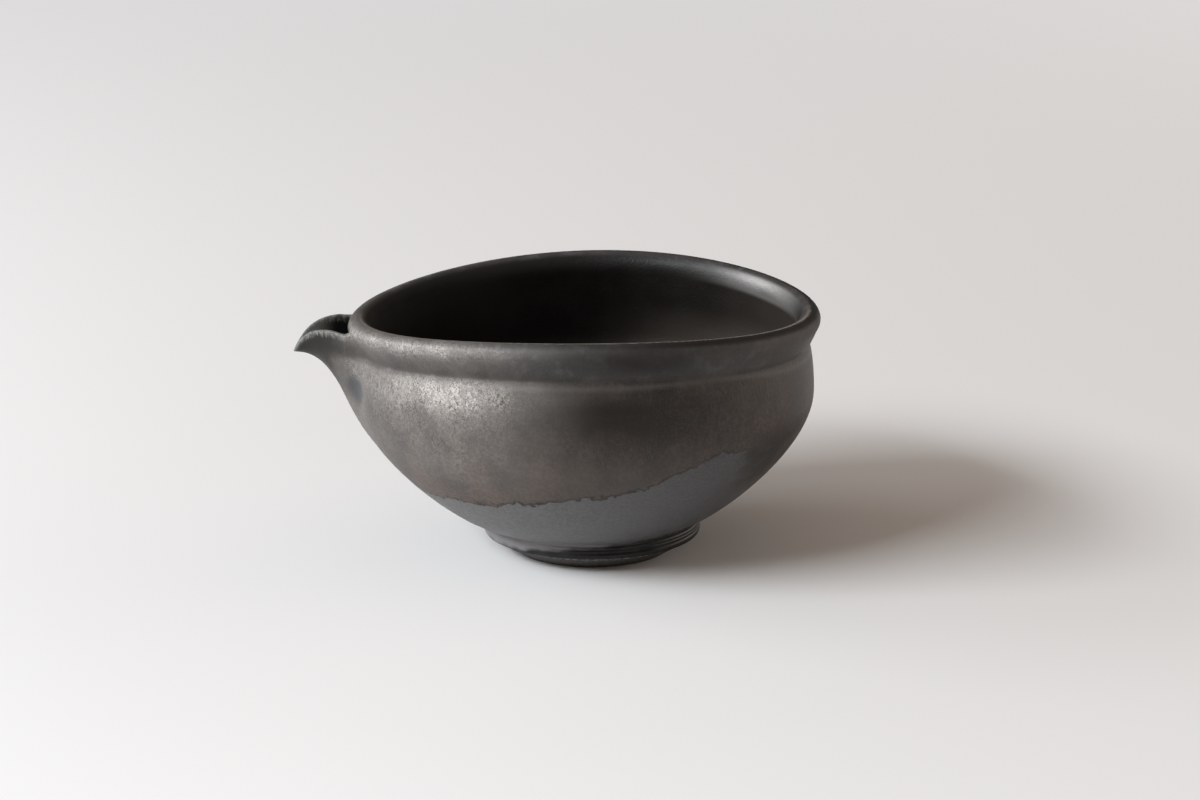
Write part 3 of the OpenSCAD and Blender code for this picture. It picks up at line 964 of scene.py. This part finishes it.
def glaze_material():
    material, tree, shader, place = principled("bronze and slate glaze")
    shader.inputs["Specular IOR Level"].default_value = GLAZE_SPECULAR
    blotch = grain(tree, place, *BLOTCH)
    rust = grain(tree, place, *RUST)
    cloud = grain(tree, place, *CLOUD)
    cluster = grain(tree, place, *CLUSTER)
    ragged = grain(tree, place, *RAGGED_EDGE)
    crumb = grain(tree, place, *CRUMB)
    hatch = grain(tree, place, *HATCH)
    fleck = grain(tree, place, *FLECK)
    height = plus(tree, attribute(tree, "above_line"), spread(tree, ragged, 0.3, 0.7, -0.6, 0.6))
    inside = attribute(tree, "inside")
    trough = attribute(tree, "trough")
    painted_lip_highlight = attribute(tree, "painted_lip_highlight")

    # Silver, with its painted sheen, lies in grains where there is much of it
    amount = attribute(tree, "silver_and_sheen")
    grains = plus(tree, swing(tree, fleck, 2.6), swing(tree, crumb, 1.8))
    clustered = spread(tree, cluster, 0.3, 0.65, 0.45, 1.1)
    grainy = times(tree, spread(tree, amount, 0.04, 0.36), clustered)
    sparkle = plus(tree, times(tree, grains, grainy), 1.0)
    silver_and_sheen = times(tree, amount, calc(tree, "MAXIMUM", sparkle, 0.2))
    silver_and_sheen = times(tree, silver_and_sheen, spread(tree, cloud, 0.3, 0.7, 0.75, 1.1))
    silver_and_sheen = calc(tree, "MINIMUM", silver_and_sheen, 1.0)

    tone = plus(tree, times(tree, blotch, 0.5), times(tree, cloud, 0.5))
    low = times(tree, spread(tree, rust, 0.38, 0.62, 0.3, 1.0), spread(tree, height, 30, 2))
    low = times(tree, low, spread(tree, attribute(tree, "spout_side"), 0, 1, 0.4, 1.0))
    cool = times(tree, attribute(tree, "cool"), 0.55)
    mottle = times(tree, cool, spread(tree, cluster, 0.5, 0.72, 0.0, 0.5))
    bleached = times(tree, attribute(tree, "bleached"), spread(tree, cloud, 0.3, 0.7, 0.6, 1.0))
    # Scorch marks, and painted shade under the lip's roll at the front
    scorch_and_shade = times(tree, attribute(tree, "scorch_and_shade"), spread(tree, cloud, 0.3, 0.6, 0.75, 1.0))
    bronze = painted(tree, mix_colour(tree, spread(tree, tone, 0.38, 0.62), *BRONZE_COLOURS), (
        (low, RUST_COLOUR),
        (spread(tree, crumb, 0.4, 0.62, 0.42, 0.0), PIT_COLOUR),
        (spread(tree, fleck, 0.52, 0.72, 0.0, 0.3), FLECK_COLOUR),
        (spread(tree, hatch, 0.45, 0.75, 0.0, 0.2), HATCH_COLOUR),
        (cool, COOL_COLOUR),
        (mottle, MOTTLE_COLOUR),
        # pale ridge line: glaze breaking paler, and painted highlight
        (times(tree, attribute(tree, "ridge"), 0.5), RIDGE_BREAK_AND_HIGHLIGHT_COLOUR),
        (bleached, BLEACHED_COLOUR),
        (scorch_and_shade, SCORCH_AND_SHADE_COLOUR),
        # painted shade in the groove
        (times(tree, attribute(tree, "painted_groove_shade"), 0.25), GROOVE_SHADE_COLOUR),
        (attribute(tree, "beak"), BEAK_COLOUR),
        # silver lustre with painted sheen where the highlight falls
        (silver_and_sheen, SILVER_AND_SHEEN_COLOUR),
    ))

    # Painted light: the slate is lighter on the side the light falls on
    pale = times(tree, attribute(tree, "slate_painted_light"), spread(tree, cloud, 0.3, 0.7, 0.8, 1.0))
    slate = painted(tree, mix_colour(tree, pale, *SLATE_COLOURS), (
        (spread(tree, crumb, 0.38, 0.65, 0.0, 0.3), SLATE_PIT_COLOUR),
        (spread(tree, fleck, 0.5, 0.75, 0.0, 0.25), SLATE_FLECK_COLOUR),
        # painted shade at the far end, away from the light
        (attribute(tree, "far_end_shade"), FAR_END_SHADE_COLOUR),
    ))

    upper = spread(tree, height, -0.15, 0.15)
    glaze_edge = times(tree, spread(tree, height, -0.3, 0.1), spread(tree, height, 0.9, 0.2))
    # Painted light on the far inner wall
    inside_with_painted_light = mix_colour(tree, attribute(tree, "painted_inside_light"), *INSIDE_COLOURS)
    tip = spread(tree, attribute(tree, "toward_tip"), 0.25, 0.7)
    # Wear and painted highlight along the lip's inner edge
    lip_wear_and_highlight_share = times(tree, attribute(tree, "lip_wear_and_highlight"), spread(tree, crumb, 0.3, 0.6, 0.6, 0.95))
    # Pale band under the beak's edge: worn glaze, and painted highlight along the edge
    feather = plus(tree, attribute(tree, "below_edge"), swing(tree, hatch, 3.0))
    beak_wear_and_highlight = times(tree, spread(tree, feather, 2.3, 0.3), spread(tree, crumb, 0.35, 0.6, 0.3, 0.9))
    colour = painted(tree, mix_colour(tree, upper, slate, bronze), (
        (glaze_edge, GLAZE_EDGE_COLOUR),
        (times(tree, attribute(tree, "finger"), 0.9), FINGER_COLOUR),
        (inside, inside_with_painted_light),
        (times(tree, attribute(tree, "crest"), 0.92), CREST_COLOUR),
        (trough, mix_colour(tree, tip, *TROUGH_COLOURS)),
        # painted highlight on the lip's inside
        (painted_lip_highlight, PAINTED_LIP_HIGHLIGHT_COLOUR),
        (lip_wear_and_highlight_share, LIP_WEAR_AND_HIGHLIGHT_COLOUR),
        (beak_wear_and_highlight, BEAK_WEAR_AND_HIGHLIGHT_COLOUR),
    ))
    socket_set(tree, shader.inputs["Base Color"], colour)

    outer = calc(tree, "SUBTRACT", 1.0, calc(tree, "MAXIMUM", inside, trough))
    metal = times(tree, times(tree, silver_and_sheen, upper), outer)
    metal = plus(tree, times(tree, metal, 0.75), times(tree, painted_lip_highlight, 0.8))
    socket_set(tree, shader.inputs["Metallic"], metal)
    rough = spread(tree, cloud, 0.3, 0.7, 0.34, 0.42)
    rougher = (
        (outer, 0.08),
        (amount, 0.12),
        (attribute(tree, "lip"), 0.14),
        (attribute(tree, "matt"), 0.35),
    )
    for where, more in rougher:
        rough = plus(tree, rough, times(tree, where, more))
    socket_set(tree, shader.inputs["Roughness"], rough)

    step = times(tree, times(tree, upper, outer), 0.15)
    relief = plus(tree, times(tree, grains, 0.04), step)
    bump = add(tree, "ShaderNodeBump", {"Height": relief, "Distance": MM, "Strength": 0.7})
    socket_set(tree, shader.inputs["Normal"], bump)
    return material


def foot_material():
    material, tree, shader, place = principled("turned foot glaze")
    shader.inputs["Specular IOR Level"].default_value = GLAZE_SPECULAR
    cloud = grain(tree, place, *FOOT_CLOUD)
    crumb = grain(tree, place, *FOOT_CRUMB)
    z = calc(tree, "DIVIDE", add(tree, "ShaderNodeSeparateXYZ", {0: place}, out=2), MM)
    dark = mix_colour(tree, spread(tree, cloud, 0.35, 0.65), *FOOT_DARK_COLOURS)
    # Painted light: the foot's slate is lighter on the side the light falls on
    pale = times(tree, attribute(tree, "slate_painted_light"), spread(tree, cloud, 0.3, 0.7, 0.75, 1.0))
    slate = mix_colour(tree, pale, *FOOT_SLATE_COLOURS)
    clay = mix_colour(tree, spread(tree, crumb, 0.35, 0.65), *CLAY_COLOURS)
    bare = spread(tree, z, *BARE_CLAY_Z)
    ring = times(tree, spread(tree, z, *GLINT_LOW_Z), spread(tree, z, *GLINT_HIGH_Z))
    colour = painted(tree, dark, (
        (spread(tree, attribute(tree, "above_line"), -0.8, 0.8), slate),
        (bare, clay),
        (times(tree, ring, spread(tree, crumb, 0.48, 0.6)), GLINT_COLOUR),
    ))
    socket_set(tree, shader.inputs["Base Color"], colour)
    socket_set(tree, shader.inputs["Roughness"], spread(tree, bare, 0, 1, 0.42, 0.7))
    relief = times(tree, crumb, 0.08)
    bump = add(tree, "ShaderNodeBump", {"Height": relief, "Distance": MM, "Strength": 0.6})
    socket_set(tree, shader.inputs["Normal"], bump)
    return material


# Distances from the object, in metres, between which the floor is lifted to the pale background
LIFT_FROM = 0.15
LIFT_TO = 1.4
LIFT = 0.34
LIFT_COLOUR = (0.87, 0.94, 1.0, 1)
FLOOR_COLOUR = (0.8, 0.8, 0.8, 1)
FLOOR_ROUGHNESS = 0.9
FLOOR_SPECULAR = 0.1


def floor_material():
    """Pale matt floor, lifted with distance for what looks at it, so that the background stays pale."""
    material, tree, shader, place = principled("pale floor")
    shader.inputs["Base Color"].default_value = FLOOR_COLOUR
    shader.inputs["Roughness"].default_value = FLOOR_ROUGHNESS
    shader.inputs["Specular IOR Level"].default_value = FLOOR_SPECULAR
    rays = tree.nodes.new("ShaderNodeLightPath").outputs
    seen = plus(tree, rays["Is Camera Ray"], rays["Is Glossy Ray"])
    seen = plus(tree, seen, rays["Is Transmission Ray"])
    distance = add(tree, "ShaderNodeVectorMath", {0: place}, out=1, operation="LENGTH")
    inputs = {"Value": distance, "From Min": LIFT_FROM, "From Max": LIFT_TO, "To Max": LIFT}
    lift = add(tree, "ShaderNodeMapRange", inputs)
    shader.inputs["Emission Color"].default_value = LIFT_COLOUR
    socket_set(tree, shader.inputs["Emission Strength"], times(tree, seen, lift))
    return material


vessel_piece = make_vessel()
vessel_piece.data.materials.append(glaze_material())
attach(vessel_piece, "root")
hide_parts("bowl_body", "rim_collar", "spout", "spout_slip", "collar_slip")

foot_piece = make_foot()
foot_piece.data.materials.append(foot_material())
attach(foot_piece, "root")
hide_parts("foot_ring", "foot_slip")

# Stage and light, in metres and watts
FLOOR_HALF = 6.0
LAMP_DISTANCE = 1.7
LAMP_TARGET = (0, 0, 0.03)
WINDOW_COLOUR = (0.925, 0.965, 1.0)
FILL_COLOUR = (1.0, 0.9, 0.82)
ROOM_COLOUR = (1.0, 0.81, 0.68, 1)
ROOM_BRIGHT_SIDE = (-0.5, -0.4, 0.77)
ROOM_SPREAD = (-0.4, 1.0)
ROOM_STRENGTH = (0.13, 0.31)

floor_signs = ((-1, -1), (1, -1), (1, 1), (-1, 1))
floor_corners = [(x * FLOOR_HALF, y * FLOOR_HALF, 0) for x, y in floor_signs]
floor_mesh = bpy.data.meshes.new("floor")
floor_mesh.from_pydata(floor_corners, [], [(0, 1, 2, 3)])
floor = bpy.data.objects.new("floor", floor_mesh)
bpy.context.collection.objects.link(floor)
floor_mesh.materials.append(floor_material())


def look_at(obj, target):
    obj.rotation_euler = (Vector(target) - obj.location).to_track_quat("-Z", "Y").to_euler()


def window(name, azimuth, elevation, size, power, colour=WINDOW_COLOUR):
    """Soft light on the object; its azimuth counts from -X towards the camera."""
    level = LAMP_DISTANCE * cos(elevation)
    lamp = bpy.data.lights.new(name, "AREA")
    lamp.shape = "RECTANGLE"
    lamp.size, lamp.size_y = size
    lamp.energy = power
    lamp.color = colour
    obj = bpy.data.objects.new(name, lamp)
    height = LAMP_DISTANCE * sin(elevation)
    obj.location = (-level * cos(azimuth), -level * sin(azimuth), height)
    look_at(obj, LAMP_TARGET)
    bpy.context.collection.objects.link(obj)


window("wide_window", radians(31), radians(36), (1.1, 0.45), 34.0)
window("side_window", radians(-13), radians(30), (0.8, 0.4), 5.5)
window("far_fill", radians(197), radians(15), (2.0, 0.6), 8.0, FILL_COLOUR)

world = bpy.data.worlds.new("room")
world.use_nodes = True
room_tree = world.node_tree
room = room_tree.nodes["Background"].inputs
room["Color"].default_value = ROOM_COLOUR
direction = add(room_tree, "ShaderNodeTexCoord", out=0)
sides = {0: direction, 1: ROOM_BRIGHT_SIDE}
toward = add(room_tree, "ShaderNodeVectorMath", sides, out=1, operation="DOT_PRODUCT")
socket_set(room_tree, room["Strength"], spread(room_tree, toward, *ROOM_SPREAD, *ROOM_STRENGTH))
bpy.context.scene.world = world

# Camera, looking along +Y and down
ELEVATION = radians(15)
TARGET = np.array([12.4, 0, 42.81])
DISTANCE = 829.6
SENSOR = 36
LENS = 87.0
CLIP_END = 50
camera_data = bpy.data.cameras.new("camera")
camera_data.sensor_width = SENSOR
camera_data.lens = LENS
camera_data.clip_end = CLIP_END
camera = bpy.data.objects.new("camera", camera_data)
back = np.array([0, -cos(ELEVATION), sin(ELEVATION)])
camera.location = Vector((TARGET + DISTANCE * back) * MM)
camera.rotation_euler = (pi / 2 - ELEVATION, 0, 0)
bpy.context.collection.objects.link(camera)
bpy.context.scene.camera = camera
bpy.context.scene.view_settings.view_transform = "Standard"
